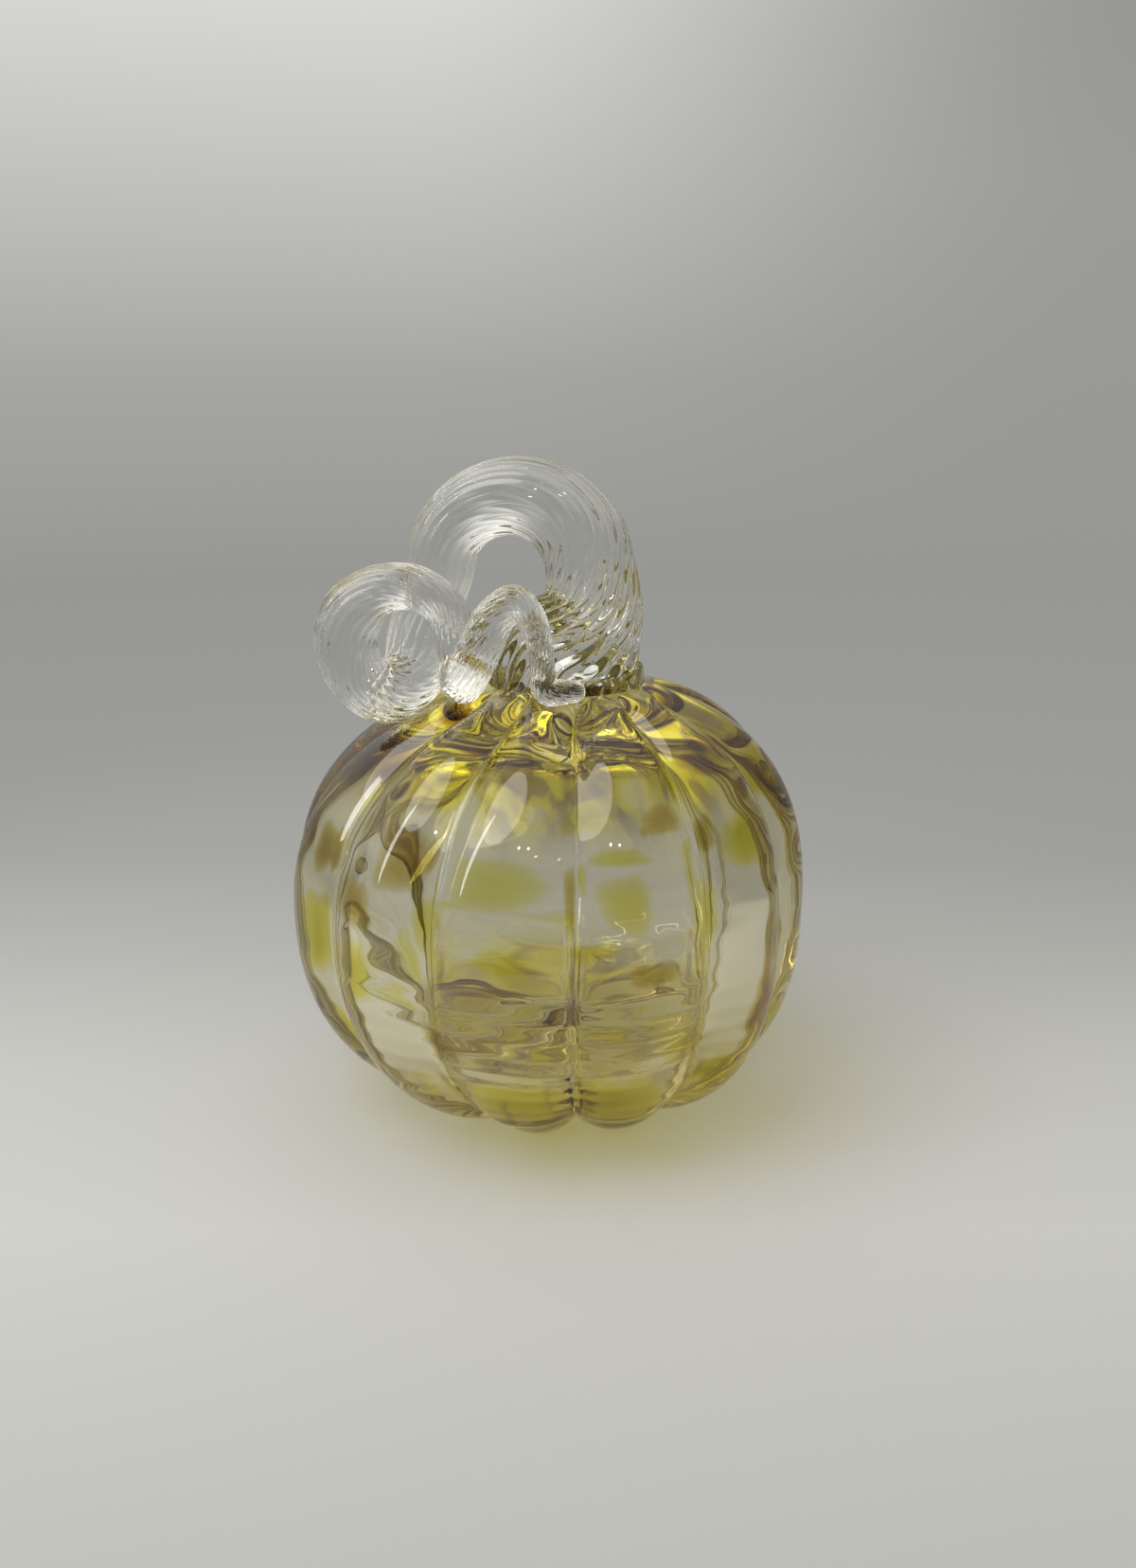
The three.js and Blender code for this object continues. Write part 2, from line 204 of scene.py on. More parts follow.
def clear_glass(name, wave_scale, wave_height, tint, density, shade):
    """Fire-polished clear glass whose surface may keep a slow wave from the blower's tools, and whose
    depth takes on the tint. Light on its way to the floor is coloured by shade at each face."""
    material, tree, out = new_material(name)
    glass = node_in(tree, "ShaderNodeBsdfPrincipled", **{
        "Base Color": (1.0, 1.0, 1.0, 1), "Roughness": 0.0, "IOR": 1.5, "Transmission Weight": 1.0})
    if wave_height:
        place = node_in(tree, "ShaderNodeTexCoord")
        waves = node_in(tree, "ShaderNodeTexNoise", Scale=wave_scale, Detail=1.0)
        bump = node_in(tree, "ShaderNodeBump", Strength=1.0, Distance=wave_height)
        tree.links.new(place.outputs["Object"], waves.inputs["Vector"])
        tree.links.new(waves.outputs["Fac"], bump.inputs["Height"])
        tree.links.new(bump.outputs["Normal"], glass.inputs["Normal"])
    let_through = node_in(tree, "ShaderNodeBsdfTransparent", Color=(*shade, 1))
    path = node_in(tree, "ShaderNodeLightPath")
    choice = node_in(tree, "ShaderNodeMixShader")
    to_floor = node_in(tree, "ShaderNodeMath", operation="MAXIMUM")
    tree.links.new(path.outputs["Is Shadow Ray"], to_floor.inputs[0])
    tree.links.new(path.outputs["Is Diffuse Ray"], to_floor.inputs[1])
    tree.links.new(to_floor.outputs["Value"], choice.inputs["Fac"])
    tree.links.new(glass.outputs["BSDF"], choice.inputs[1])
    tree.links.new(let_through.outputs["BSDF"], choice.inputs[2])
    tree.links.new(choice.outputs["Shader"], out.inputs["Surface"])
    taking = node_in(tree, "ShaderNodeVolumeAbsorption", Color=(*tint, 1), Density=density)
    tree.links.new(taking.outputs["Volume"], out.inputs["Volume"])
    return material


def fill_ramp(ramp, stops):
    """Gives a colour ramp these stops, each a position and a colour."""
    while len(ramp.color_ramp.elements) < len(stops):
        ramp.color_ramp.elements.new(0.5)
    for stop, (position, colour) in zip(ramp.color_ramp.elements, stops):
        stop.position, stop.color = position, colour


def drawn_out_colour(material):
    """Colour that ran out of the chips where the glass was drawn in above and below: streaks up and
    down the lobes, from nearly clear through yellow to amber, by a noise over direction and height.
    It comes in over the crown's heights and over the foot's, and leaves the glass between clear."""
    tree = material.node_tree
    place = node_in(tree, "ShaderNodeTexCoord")
    level = node_in(tree, "ShaderNodeVectorMath", operation="MULTIPLY")
    level.inputs[1].default_value = (1, 1, 0)
    direction = node_in(tree, "ShaderNodeVectorMath", operation="NORMALIZE")
    lifted = node_in(tree, "ShaderNodeVectorMath", operation="MULTIPLY_ADD")
    lifted.inputs[1].default_value = (0, 0, STREAK_RISE)
    streaks = node_in(tree, "ShaderNodeTexNoise", Scale=STREAKS, Detail=2.0, Distortion=0.6)
    colours = node_in(tree, "ShaderNodeValToRGB")
    fill_ramp(colours, STREAK_COLOURS)
    parts = node_in(tree, "ShaderNodeSeparateXYZ")
    crown = node_in(tree, "ShaderNodeMapRange", interpolation_type="SMOOTHSTEP", **CROWN_COLOUR)
    foot = node_in(tree, "ShaderNodeMapRange", interpolation_type="SMOOTHSTEP", **FOOT_COLOUR)
    ends = node_in(tree, "ShaderNodeMath", operation="MAXIMUM")
    blend = node_in(tree, "ShaderNodeMix", data_type="RGBA")
    blend.inputs[6].default_value = (1, 1, 1, 1)
    glass = next(node for node in tree.nodes if node.type == "BSDF_PRINCIPLED")
    tree.links.new(place.outputs["Object"], level.inputs[0])
    tree.links.new(level.outputs[0], direction.inputs[0])
    tree.links.new(place.outputs["Object"], lifted.inputs[0])
    tree.links.new(direction.outputs[0], lifted.inputs[2])
    tree.links.new(lifted.outputs[0], streaks.inputs["Vector"])
    tree.links.new(streaks.outputs["Fac"], colours.inputs["Fac"])
    tree.links.new(place.outputs["Object"], parts.inputs["Vector"])
    tree.links.new(parts.outputs["Z"], crown.inputs["Value"])
    tree.links.new(parts.outputs["Z"], foot.inputs["Value"])
    tree.links.new(crown.outputs["Result"], ends.inputs[0])
    tree.links.new(foot.outputs["Result"], ends.inputs[1])
    tree.links.new(ends.outputs["Value"], blend.inputs["Factor"])
    tree.links.new(colours.outputs["Color"], blend.inputs[7])
    tree.links.new(blend.outputs[2], glass.inputs["Base Color"])


def fused_face(name):
    """Glass fused to glass bends no light, so the faces where two pieces meet are see-through."""
    material, tree, out = new_material(name)
    through = node_in(tree, "ShaderNodeBsdfTransparent", Color=(1, 1, 1, 1))
    tree.links.new(through.outputs["BSDF"], out.inputs["Surface"])
    return material


def wall_at(latitude):
    """Depth of the inside: the wall, with more glass left at the neck and in the foot."""
    crown = smooth_step(latitude, *CROWN_THICKENS)
    foot = smooth_step(-latitude, *FOOT_THICKENS)
    return WALL_INSET + CROWN_GLASS * crown + FOOT_GLASS * foot


def inner_waves(latitude, azimuth):
    """Depth of the waves that the first gather froze with: a sine of the latitude for ripples one
    above another in the lower half, set off by sines of the azimuth, and slower dents, the sum of two
    products of sines. Both fade out towards the poles."""
    low = smooth_step(latitude, 0.5, -0.3) * smooth_step(latitude, -1.2, -0.9)
    wander = 1.6 * np.sin(3 * azimuth + 0.7) + 0.9 * np.sin(7 * azimuth) + 0.5 * np.sin(12 * azimuth + 1)
    ripple = np.sin(latitude * BODY_RADIUS / RIPPLE_SPACING * 2 * np.pi + wander)
    dents = np.sin(5 * latitude + 4 * np.sin(azimuth)) * np.sin(5 * azimuth + 3 * latitude)
    dents += 0.6 * np.sin(9 * azimuth - 6 * latitude) * np.cos(8 * latitude + 1)
    away = smooth_step(latitude, 1.3, 1.0) * smooth_step(latitude, -1.4, -1.1)
    return RIPPLE_HEIGHT * low * ripple + UNEVENNESS * away * dents


def wandered(rows, latitude):
    """The points turned about the upright axis, to and fro by two sines of the latitude whose phase
    changes from lobe to lobe. The turn grows with the cosine squared of the angle from the side, so
    that creases at the front stay nearly straight and those at the sides wander."""
    around = np.arctan2(rows[..., 1], rows[..., 0])
    slow, fast = WANDER_WAVES
    turn = np.sin(slow * latitude + 2.5 * np.sin(2 * around + 1))
    turn += 0.5 * np.sin(fast * latitude + 3 * np.sin(around))
    turn *= smooth_step(latitude, 1.2, 0.7) * smooth_step(latitude, -1.2, -0.8)
    turn *= WANDER * (0.15 + np.cos(around) ** 2)
    cosine, sine = np.cos(turn), np.sin(turn)
    x, y, z = np.moveaxis(rows, -1, 0)
    return np.stack([x * cosine - y * sine, x * sine + y * cosine, z], -1)


def outward(rows):
    """Unit directions away from the body's middle."""
    away = rows - (0, 0, EQUATOR)
    return away / np.linalg.norm(away, axis=-1, keepdims=True)


# Columns of points stand closer together at the creases than on the crests
lobe, across = np.divmod(np.arange(AROUND) / AROUND * LOBES, 1)
across = 0.5 + 0.4 * (across - 0.5) + 0.3 * np.sin(np.pi * (across - 0.5))
azimuth = (lobe + across) / LOBES * 2 * np.pi + LOBE_TURN
neck_latitude = latitude_at(0, NECK_RADIUS, True)
neck_height = float(outline(0, neck_latitude)[1])

pole = -np.pi / 2
outer_latitudes = pole + (neck_latitude - pole) * np.linspace(0, 1, OUTER_ROWS + 1)[1:]
outer_rows = lobed_points(0, CREASE_DEPTH, outer_latitudes[:, None], azimuth[None, :])

neck_radii = np.linspace(NECK_RADIUS, HOLE_RADIUS, NECK_ROWS + 1)[1:]
neck_rows = body_points(neck_radii[:, None], np.full((1, AROUND), neck_height), azimuth[None, :])

inner_top = latitude_at(WALL_INSET + CROWN_GLASS, HOLE_RADIUS, True)
inner_latitudes = inner_top + (pole - inner_top) * np.linspace(0, 1, INNER_ROWS + 1)[:-1]
inner_inset = wall_at(inner_latitudes[:, None])
inner_rows = lobed_points(inner_inset, INNER_CREASE, inner_latitudes[:, None], azimuth[None, :])
inner_rows += inner_waves(inner_latitudes[:, None], azimuth[None, :])[..., None] * outward(inner_rows)
inner_rows = wandered(inner_rows, inner_latitudes[:, None])

body_rows = np.concatenate([outer_rows, neck_rows, inner_rows])
outer_pole = body_points(0, outline(0, pole)[1], 0)
inner_pole = body_points(0, outline(wall_at(pole), pole)[1], 0)
body_mesh = grid_mesh("blown_body", body_rows, outer_pole, inner_pole)
body_mesh.set_sharp_from_angle(angle=BODY_EDGE)

body_glass = clear_glass(
    "clear_body_glass", SKIN_WAVES, SKIN_WAVE_HEIGHT, BODY_TINT, BODY_DENSITY, BODY_SHADE)
drawn_out_colour(body_glass)
fused = fused_face("fused_joint")
add_piece("blown_body", body_mesh, [body_glass, fused], "clear_glass", "outer_casing", "inner_bubble")

# The flat ring of the neck, which the stem covers, is fused to it
body_ring = np.arange(len(body_mesh.polygons)) // AROUND
under_stem = np.isin(body_ring, OUTER_ROWS - 1 + np.arange(NECK_ROWS))
body_mesh.polygons.foreach_set("material_index", under_stem.astype(int))

# Colour chips

# Crushed bars of transparent yellow and amber glass, picked up on the first gather and melted flat
# under the second one. Heat thins each chip to nothing at its edge, so its colour fades out. They
# are thicker near the neck and the foot, where the glass was drawn in.
CHIP_INSET = 0.00815
CHIP_THICKNESS = 0.0008
# By this share a chip gets thicker, between these latitudes in degrees
CHIP_THICKENING = 1.0
CHIP_THICKENS = (38, 64)
CHIP_SPREAD = 1.1
EDGE_THINNING = 2.4
CHIP_CORNERS = 40
CHIP_RINGS = 8
MILLIMETRE = 0.001
YELLOW_TINT = (0.91, 0.89, 0.0)
YELLOW_DENSITY = 1500.0
AMBER_TINT = (0.77, 0.66, 0.0)
AMBER_DENSITY = 1800.0

# Each row gives a chip's azimuth and latitude in degrees, and its width and length in millimetres
YELLOW_CHIPS = [
    (-12, 20, 20, 14), (17, 26.5, 13, 4.5), (18, 15, 13, 13), (37, 9, 12, 18), (-68, -3, 14, 22),
    (57, 24, 13, 14), (10, 4, 13, 5), (-9, 2, 13, 7), (-27, 8, 8, 15), (-35, 46, 19, 15), (8, 37.5, 14, 7),
    (39, 47, 15, 11), (17, 51, 14, 11), (-8, 50, 14, 10), (-12, -40, 22, 12), (18, -40, 22, 12),
    (32, -20, 12, 8), (84, 36, 15, 13), (-49, -6, 15, 17), (-70, -30, 14, 13), (56, -40, 15, 10),
    (-175, 33, 24, 14), (144, 40, 18, 13), (-148, -16, 18, 22), (-174, -34, 22, 12), (160, -14, 20, 15),
    (-110, 28, 20, 18), (108, 8, 18, 22), (-94, -26, 18, 18), (-152, 46, 18, 10), (108, -38, 19, 12),
    (18, 68, 15, 10), (-22, 68, 15, 10), (106, 67, 17, 11), (62, 68, 17, 11), (-10, -62, 16, 9),
    (22, -62, 16, 9),
]
AMBER_CHIPS = [
    (-36, 23, 13, 17), (-47, 9.5, 12, 12), (5, 18, 4, 14), (24, -1, 14, 6), (28, 35, 10, 7), (42, 29, 7, 9),
    (69, -4, 8, 11), (64, -20, 11, 20), (63, 49, 14, 12), (-66, 18, 9, 11), (-90, 47, 16, 11),
    (175, 4, 22, 12), (129, 22, 15, 13), (-126, 4, 16, 16), (-158, 15, 14, 9), (-24, -18, 12, 8),
    (152, 68, 18, 11), (-62, 46, 15, 12), (-64, 67, 17, 11), (-135, -62, 16, 9),
]


def chip_mesh(name, chip, index):
    """A lens on the body's outline. Its edge is a squared circle, stretched to width and length with
    four waves in it, and its thickness falls from the middle as 1 - share to a power."""
    azimuth, latitude, width, length = chip
    middle = np.radians(latitude)
    radius, height = outline(CHIP_INSET, middle)
    above = outline(CHIP_INSET, middle + LATITUDE_STEP)
    per_latitude = np.hypot(above[0] - radius, above[1] - height) / LATITUDE_STEP
    angle = (np.arange(CHIP_CORNERS) / CHIP_CORNERS * 2 * np.pi)[None, :]
    share = np.linspace(0, 1, CHIP_RINGS + 1)[1:, None]
    uneven = 0.12 * np.cos(2 * angle + index) + 0.08 * np.cos(3 * angle + 2 * index)
    uneven += 0.05 * np.cos(5 * angle + 3 * index) + 0.035 * np.cos(8 * angle + 5 * index)
    squared = (np.abs(np.cos(angle)) ** 3 + np.abs(np.sin(angle)) ** 3) ** (-1 / 3)
    reach = CHIP_SPREAD * share * squared * (1 + uneven)
    thickness = CHIP_THICKNESS * (1 + CHIP_THICKENING * smooth_step(abs(latitude), *CHIP_THICKENS))

    def face(side, share, reach, angle):
        """The lens's back (side 1) or front (side -1), at these shares of the way to its edge."""
        along = width / 2 * MILLIMETRE * reach * np.cos(angle) / radius
        up = length / 2 * MILLIMETRE * reach * np.sin(angle) / per_latitude
        inset = CHIP_INSET + side * thickness / 2 * (1 - share ** EDGE_THINNING)
        return body_points(*outline(inset, middle + up), np.radians(azimuth) + along)

    back = face(1, share, reach, angle)
    front = face(-1, share[:-1], reach[:-1], angle)[::-1]
    rows = np.concatenate([back, front])
    zero = np.zeros(1)
    return grid_mesh(name, rows, face(1, zero, zero, zero)[0], face(-1, zero, zero, zero)[0])


def chip_glass(name, tint, density):
    """Coloured glass inside clear glass bends no light: it only takes some away, by its depth."""
    material, tree, out = new_material(name)
    taking = node_in(tree, "ShaderNodeVolumeAbsorption", Color=(*tint, 1), Density=density)
    tree.links.new(taking.outputs["Volume"], out.inputs["Volume"])
    return material


yellow_glass = chip_glass("yellow_chip_glass", YELLOW_TINT, YELLOW_DENSITY)
amber_glass = chip_glass("amber_chip_glass", AMBER_TINT, AMBER_DENSITY)
for kind, chips, glass in (("yellow", YELLOW_CHIPS, yellow_glass), ("amber", AMBER_CHIPS, amber_glass)):
    for index, chip in enumerate(chips):
        node = f"{kind}_chip_{index + 1:02d}"
        add_piece(f"{node}_glass", chip_mesh(node, chip, index), [glass], f"{kind}_glass", node)

# Stem

# A bit of hot clear glass pressed in a ribbed mould, laid on the neck, then twisted while it was
# pulled out thin and coiled: a high loop, a curl that rests on the shoulder, and a thin tendril.
STEM_BASE = 0.0223
STEM_RIBS = 20
BASE_RIB_DEPTH = 0.075
LOOP_RIB_DEPTH = 0.032
CURL_RIB_DEPTH = 0.038
BASE_SHARE = 0.22
BASE_TWIST = 0.85
LOOP_TWIST = 0.08
TENDRIL_TWIST = 0.2
LOOP_RADIUS = 0.0215
LOOP_RISE = 0.030
LOOP_OFFSET = 0.0145
LOOP_BACK = 0.005
LOOP_ROD = 0.0104
CURL_RADIUS = 0.015
CURL_RISE = 0.0135
CURL_OUT = 0.0455
CURL_FORWARD = 0.012
CURL_TILT = 0.0015
CURL_ROD = 0.0086
TENDRIL_RISE = 0.026
TENDRIL_FORWARD = 0.026
TENDRIL_SPAN = 0.024
TENDRIL_ROD = 0.0059
TIP_ROD = 0.0031
REST_GAP = 0.00035
STEM_TINT = (0.7, 0.65, 0.3)
STEM_DENSITY = 5.0
STEM_SHADE = (0.93, 0.93, 0.92)
CURL_SHARES = (0.36, 0.5)
RIBS_START = 0.004
LAND_ROUNDING = 0.02
STEM_EDGE = np.radians(50)
STATIONS = 480
FINE_STATIONS = 6000
CORNERS = STEM_RIBS * 10


def mix(low, high, share):
    """Low at share 0, high at share 1, and in proportion between them."""
    return low + (high - low) * share


def shoulder_height(x, y):
    """Height of the lobe crests under a point, found by putting the lean back in a few times."""
    height = neck_height
    for _ in range(8):
        radius = min(np.hypot(x - lean_at(height), y), BODY_RADIUS)
        drop = 1 - (radius / BODY_RADIUS) ** UPPER_FULLNESS
        height = EQUATOR + CROWN_RISE * drop ** (1 / UPPER_FULLNESS)
    return height


stem_x = float(lean_at(neck_height))
swing = LOOP_RADIUS - LOOP_OFFSET
route = [(0, 0, 0, STEM_BASE), (0, 0, 0.2 * LOOP_RISE, STEM_BASE * 0.95),
         (swing * 0.6, 0, 0.45 * LOOP_RISE, mix(STEM_BASE, LOOP_ROD, 0.36)),
         (swing * 1.03, 0, 0.73 * LOOP_RISE, mix(STEM_BASE, LOOP_ROD, 0.64))]
for degrees in range(0, 181, 30):
    angle = np.radians(degrees)
    swell = 1 + 0.24 * np.cos(angle / 2) ** 4 - 0.06 * np.sin(angle / 2) ** 4
    route.append((LOOP_RADIUS * np.cos(angle) - LOOP_OFFSET, LOOP_BACK * degrees / 180,
                  LOOP_RISE + LOOP_RADIUS * np.sin(angle), LOOP_ROD * swell))
leg = -LOOP_RADIUS - LOOP_OFFSET
route += [(leg - 0.003, LOOP_BACK - 0.0005, LOOP_RISE - 0.009, LOOP_ROD * 0.92),
          (leg - 0.0055, LOOP_BACK - 0.0035, LOOP_RISE - 0.018, LOOP_ROD * 0.9),
          (leg - 0.0075, LOOP_BACK - 0.0095, mix(LOOP_RISE - 0.018, CURL_RISE - CURL_RADIUS, 0.72),
           LOOP_ROD * 0.86)]
curl_rods = {252: 0, 218: 0, 182: 0, 146: 0, 112: 0.6, 76: 0.85, 40: 1, 5: 1}
for degrees, thinned in curl_rods.items():
    angle = np.radians(degrees)
    route.append((CURL_RADIUS * np.cos(angle) - CURL_OUT,
                  -CURL_FORWARD - CURL_TILT * np.cos(angle - np.radians(215)),
                  CURL_RISE + CURL_RADIUS * np.sin(angle), mix(CURL_ROD, TENDRIL_ROD, thinned)))


def rest_on(x, y, rod):
    """A route point where a rod of this radius lies on the shoulder."""
    return x, y, shoulder_height(stem_x + x, y) + rod + REST_GAP - neck_height, rod


left = -CURL_OUT + CURL_RADIUS
right = left + TENDRIL_SPAN
route += [(left + 0.0012, -CURL_FORWARD, 0.008, TENDRIL_ROD),
          rest_on(left + 0.002, -mix(CURL_FORWARD, TENDRIL_FORWARD, 0.48), TENDRIL_ROD),
          (left + 0.005, -TENDRIL_FORWARD, 0.0085, TENDRIL_ROD),
          (left + 0.008, -TENDRIL_FORWARD - 0.0005, 0.015, TENDRIL_ROD),
          (left + 0.0115, -TENDRIL_FORWARD, TENDRIL_RISE - 0.004, TENDRIL_ROD * 0.94),
          (left + 0.7 * TENDRIL_SPAN, -TENDRIL_FORWARD, TENDRIL_RISE, TENDRIL_ROD * 0.84),
          (right - 0.0026, -TENDRIL_FORWARD - 0.0005, TENDRIL_RISE - 0.0045, TENDRIL_ROD * 0.7),
          (right - 0.0003, -TENDRIL_FORWARD - 0.001, TENDRIL_RISE - 0.012, TIP_ROD * 1.12),
          (right + 0.0003, -TENDRIL_FORWARD - 0.0015, TENDRIL_RISE - 0.0185, TIP_ROD * 1.1),
          rest_on(right + 0.0016, -TENDRIL_FORWARD - 0.002, TIP_ROD * 1.25),
          rest_on(right + 0.0085, -TENDRIL_FORWARD - 0.0008, TIP_ROD)]
route = np.array(route, float) + (stem_x, 0, neck_height, 0)


def through_points(points, at):
    """Catmull-Rom curve: between two points, the cubic whose slope at each point is half the step
    from the point before it to the point after it."""
    padded = np.concatenate([[2 * points[0] - points[1]], points, [2 * points[-1] - points[-2]]])
    span = np.minimum(at.astype(int), len(points) - 2)
    t = (at - span)[:, None]
    p0, p1, p2, p3 = (padded[span + k] for k in range(4))
    return (p1 + t * (p2 - p0) / 2 + t ** 2 * (p0 - 2.5 * p1 + 2 * p2 - p3 / 2)
            + t ** 3 * (1.5 * (p1 - p2) + (p3 - p0) / 2))


def rod_frames(centres):
    """Tangents along a line, and normals carried from one station to the next by the least turn."""
    tangents = np.gradient(centres, axis=0)
    tangents /= np.linalg.norm(tangents, axis=1, keepdims=True)
    normals = np.empty_like(tangents)
    normals[0] = (1, 0, 0)
    for k in range(1, len(tangents)):
        carried = normals[k - 1] - tangents[k] * (normals[k - 1] @ tangents[k])
        normals[k] = carried / np.linalg.norm(carried)
    return tangents, normals, np.cross(tangents, normals)


# Stations stand at even steps along the route's curve, measured on a finer run of points
fine_at = np.linspace(0, len(route) - 1, FINE_STATIONS)
fine = through_points(route, fine_at)
run = np.concatenate([[0], np.cumsum(np.linalg.norm(np.diff(fine[:, :3], axis=0), axis=1))])
along = np.linspace(0, run[-1], STATIONS)
line = through_points(route, np.interp(along, run, fine_at))
centres, rods = line[:, :3], line[:, 3]
tangents, normals, sides = rod_frames(centres)

# The ribs are cosines round the rod, rounded between, and wind by a slope that eases along it
past_base = smooth_step(along / run[-1], 0, BASE_SHARE)
on_curl = smooth_step(along / run[-1], *CURL_SHARES)
slope = mix(mix(BASE_TWIST, LOOP_TWIST, past_base), TENDRIL_TWIST, on_curl)
twist = np.concatenate([[0], np.cumsum(slope[1:] * np.diff(along) / rods[:-1])])
corner_angle = np.arange(CORNERS) / CORNERS * 2 * np.pi
land = np.sqrt(np.cos(STEM_RIBS / 2 * corner_angle) ** 2 + LAND_ROUNDING)
rib_depth = mix(mix(BASE_RIB_DEPTH, LOOP_RIB_DEPTH, past_base), CURL_RIB_DEPTH, on_curl)
rib_depth *= smooth_step(along, 0.0, RIBS_START)
turned = corner_angle[None, :] + twist[:, None]
reach = rods[:, None] * (1 - rib_depth[:, None] * (1 - np.minimum(land, 1))[None, :])
stem_rows = (centres[:, None] + reach[..., None] * np.cos(turned)[..., None] * normals[:, None]
             + reach[..., None] * np.sin(turned)[..., None] * sides[:, None])
stem_rows[0, :, 2] = neck_height

base_radii = np.array([HOLE_RADIUS * 0.5, HOLE_RADIUS, HOLE_RADIUS * 1.4, STEM_BASE * 0.8])
base_rows = np.stack([
    stem_x + base_radii[:, None] * np.cos(turned[0]),
    base_radii[:, None] * np.sin(turned[0]) * np.sign(sides[0, 1]),
    np.full((len(base_radii), CORNERS), neck_height)], -1)
tip_share = np.array([0.35, 0.6, 0.8, 0.94])[:, None, None]
tip_rows = (centres[-1] + (stem_rows[-1] - centres[-1]) * np.sqrt(1 - tip_share ** 2)
            + tangents[-1] * tip_share * rods[-1])
stem_mesh = grid_mesh("stem", np.concatenate([base_rows, stem_rows, tip_rows]),
                      np.array([stem_x, 0, neck_height]), centres[-1] + tangents[-1] * rods[-1])
stem_mesh.set_sharp_from_angle(angle=STEM_EDGE)
stem_glass = clear_glass("clear_stem_glass", 0, 0, STEM_TINT, STEM_DENSITY, STEM_SHADE)
add_piece("twisted_stem", stem_mesh, [stem_glass, fused], "clear_glass", "stem")

# Its underside, outside the blow hole, is fused to the neck
stem_ring = np.arange(len(stem_mesh.polygons)) // CORNERS
on_neck = np.isin(stem_ring, np.arange(1, len(base_radii)))
stem_mesh.polygons.foreach_set("material_index", on_neck.astype(int))

# Floor, light and camera

# A pale studio floor that fades into an even grey surround. Its grey is painted light: a pool of
# light painted just in front of the body, and painted shade that darkens it behind. The surround
# gives most of the light, and four soft lamps above the front and the left add their reflections.
FLOOR_RADIUS = 0.6
FLOOR_EDGE_FADE = {"From Min": 0.18, "From Max": 0.55}
FLOOR_DEPTH = 0.2
# Floor greys front to back: a painted pool of light before the body, painted shade behind it
FLOOR_PAINTED_LIGHT_GREYS = [(-0.2, 0.38), (-0.085, 0.46), (0.0, 0.43), (0.1, 0.35), (0.2, 0.30)]
FLOOR_WARMTH = 0.99
LEFT_GREYS = [
    (-1.0, 0.45), (-0.6, 0.47), (-0.42, 0.43), (-0.28, 0.34), (-0.13, 0.31), (0.0, 0.38),
    (0.117, 0.53), (0.21, 0.66), (0.4, 0.95), (0.7, 1.3), (1.0, 1.3),
]
RIGHT_GREYS = [
    (-1.0, 0.42), (-0.6, 0.44), (-0.42, 0.42), (-0.28, 0.34), (-0.13, 0.31), (0.0, 0.32),
    (0.117, 0.33), (0.21, 0.31), (0.4, 0.35), (0.7, 0.8), (1.0, 1.3),
]
SURROUND_WARMTH = 0.96
LEFT_TO_RIGHT = {"From Min": -0.12, "From Max": 0.36}
DARKER_FRONT = {"From Min": -0.9, "From Max": 0.05, "To Min": 0.3, "To Max": 1.0}
LAMP_AIM = Vector((0, 0, 0.07))
DAYLIGHT = (0.97, 0.99, 1.0)
NEUTRAL = (1.0, 0.99, 0.97)
WARM = (1.0, 0.86, 0.66)
CAMERA_PLACE = (0.0061, -0.398, 0.207)
CAMERA_TILT = np.radians(74)
LENS_MM = 45
SENSOR_MM = 36


def grey_ramp(tree, greys, low, high, warmth):
    """A colour ramp from low to high through these greys, with blue taken down to the warmth."""
    ramp = node_in(tree, "ShaderNodeValToRGB")
    fill_ramp(ramp, [((at - low) / (high - low), (grey, grey, grey * warmth, 1)) for at, grey in greys])
    return ramp


bpy.ops.mesh.primitive_circle_add(vertices=96, radius=FLOOR_RADIUS, fill_type="NGON", location=(0, 0, 0))
floor = bpy.context.object
floor.name = "floor"
floor_material, tree, out = new_material("pale_floor")
paint = node_in(tree, "ShaderNodeBsdfDiffuse")
nothing = node_in(tree, "ShaderNodeBsdfTransparent")
place = node_in(tree, "ShaderNodeTexCoord")
parts = node_in(tree, "ShaderNodeSeparateXYZ")
depth_share = node_in(tree, "ShaderNodeMapRange", **{"From Min": -FLOOR_DEPTH, "From Max": FLOOR_DEPTH})
# The floor's grey follows its depth as a painted pool of light, with painted shade behind it
painted_light_tone = grey_ramp(tree, FLOOR_PAINTED_LIGHT_GREYS, -FLOOR_DEPTH, FLOOR_DEPTH, FLOOR_WARMTH)
tree.links.new(place.outputs["Object"], parts.inputs["Vector"])
tree.links.new(parts.outputs["Y"], depth_share.inputs["Value"])
tree.links.new(depth_share.outputs["Result"], painted_light_tone.inputs["Fac"])
tree.links.new(painted_light_tone.outputs["Color"], paint.inputs["Color"])
distance = node_in(tree, "ShaderNodeVectorMath", operation="LENGTH")
fade = node_in(tree, "ShaderNodeMapRange", interpolation_type="SMOOTHERSTEP", **FLOOR_EDGE_FADE)
blend = node_in(tree, "ShaderNodeMixShader")
tree.links.new(place.outputs["Object"], distance.inputs[0])
tree.links.new(distance.outputs["Value"], fade.inputs["Value"])
tree.links.new(fade.outputs["Result"], blend.inputs["Fac"])
tree.links.new(paint.outputs["BSDF"], blend.inputs[1])
tree.links.new(nothing.outputs["BSDF"], blend.inputs[2])
tree.links.new(blend.outputs["Shader"], out.inputs["Surface"])
floor.data.materials.append(floor_material)

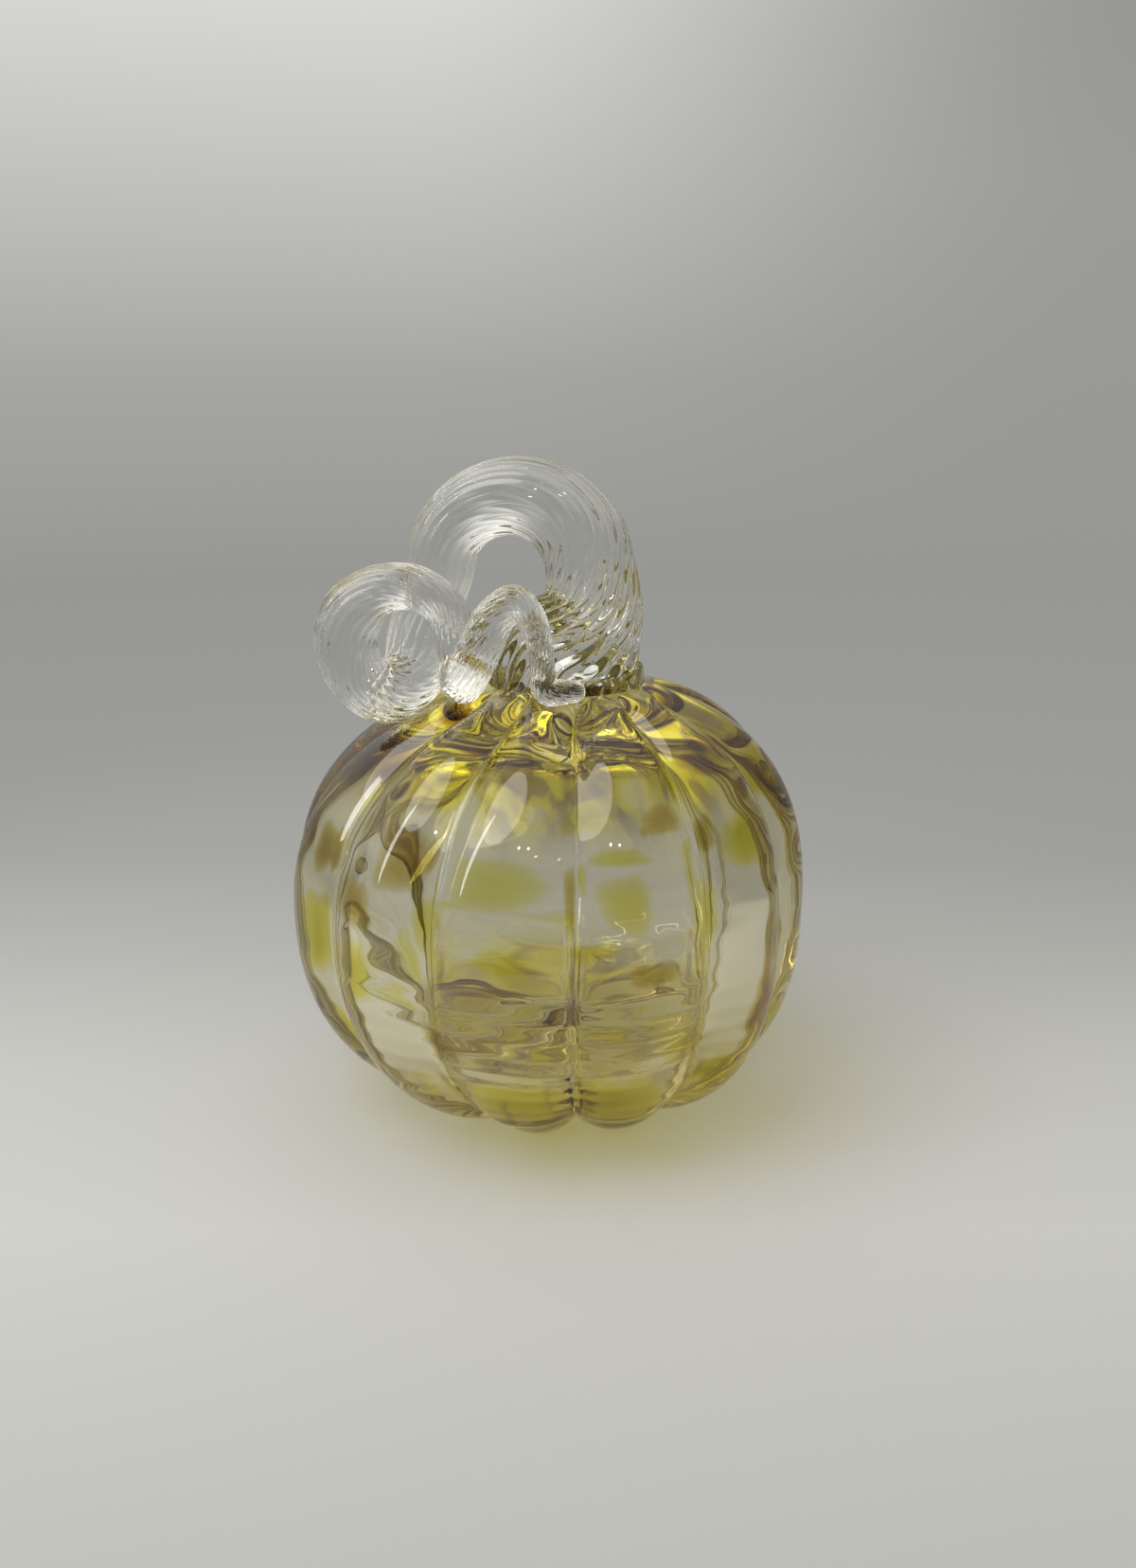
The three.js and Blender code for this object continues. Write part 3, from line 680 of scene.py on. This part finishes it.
# The surround: greys from straight down to straight up, one row of them for each side
scene = bpy.context.scene
scene.world = bpy.data.worlds.new("studio")
scene.world.use_nodes = True
tree = scene.world.node_tree
tree.nodes.clear()
place = node_in(tree, "ShaderNodeTexCoord")
parts = node_in(tree, "ShaderNodeSeparateXYZ")
height_share = node_in(tree, "ShaderNodeMapRange", **{"From Min": -1.0, "From Max": 1.0})
side_share = node_in(tree, "ShaderNodeMapRange", interpolation_type="SMOOTHSTEP", **LEFT_TO_RIGHT)
front_dim = node_in(tree, "ShaderNodeMapRange", interpolation_type="SMOOTHSTEP", **DARKER_FRONT)
blend = node_in(tree, "ShaderNodeMix", data_type="RGBA")
backdrop = node_in(tree, "ShaderNodeBackground")
out = node_in(tree, "ShaderNodeOutputWorld")
tree.links.new(place.outputs["Generated"], parts.inputs["Vector"])
tree.links.new(parts.outputs["Z"], height_share.inputs["Value"])
tree.links.new(parts.outputs["X"], side_share.inputs["Value"])
tree.links.new(parts.outputs["Y"], front_dim.inputs["Value"])
tree.links.new(side_share.outputs["Result"], blend.inputs["Factor"])
for greys, side in ((LEFT_GREYS, 6), (RIGHT_GREYS, 7)):
    tones = grey_ramp(tree, greys, -1, 1, SURROUND_WARMTH)
    tree.links.new(height_share.outputs["Result"], tones.inputs["Fac"])
    tree.links.new(tones.outputs["Color"], blend.inputs[side])
tree.links.new(blend.outputs[2], backdrop.inputs["Color"])
tree.links.new(front_dim.outputs["Result"], backdrop.inputs["Strength"])
tree.links.new(backdrop.outputs["Background"], out.inputs["Surface"])


def soft_lamp(name, place, width, height, watts, colour):
    """A soft lamp, oval in outline, that looks from its place at the body's middle."""
    data = bpy.data.lights.new(name, "AREA")
    data.shape = "ELLIPSE"
    data.size = width
    data.size_y = height
    data.energy = watts
    data.color = colour
    lamp = bpy.data.objects.new(name, data)
    scene.collection.objects.link(lamp)
    lamp.location = place
    lamp.rotation_euler = (LAMP_AIM - Vector(place)).to_track_quat("-Z", "Y").to_euler()


soft_lamp("key", (-0.5, -0.3, 1.1), 0.9, 0.9, 7.2, NEUTRAL)
soft_lamp("window", (-0.9, -0.35, 0.65), 0.09, 0.9, 1.8, DAYLIGHT)
soft_lamp("right_spot", (0.12, -0.8, 0.78), 0.03, 0.03, 0.5, WARM)
soft_lamp("left_spot", (-0.1, -0.85, 0.85), 0.03, 0.03, 0.5, WARM)

camera_data = bpy.data.cameras.new("camera")
camera_data.lens = LENS_MM
camera_data.sensor_width = SENSOR_MM
camera_data.sensor_fit = "HORIZONTAL"
camera_data.clip_start = 0.01
scene.camera = bpy.data.objects.new("camera", camera_data)
scene.collection.objects.link(scene.camera)
scene.camera.location = CAMERA_PLACE
scene.camera.rotation_euler = (CAMERA_TILT, 0, 0)

# Light may cross many faces of glass, and the soft shadow on the floor is made without caustics
scene.view_settings.view_transform = "Standard"
scene.cycles.max_bounces = 48
scene.cycles.transmission_bounces = 48
scene.cycles.glossy_bounces = 48
scene.cycles.transparent_max_bounces = 64
scene.cycles.caustics_reflective = False
scene.cycles.caustics_refractive = False
scene.cycles.use_denoising = True
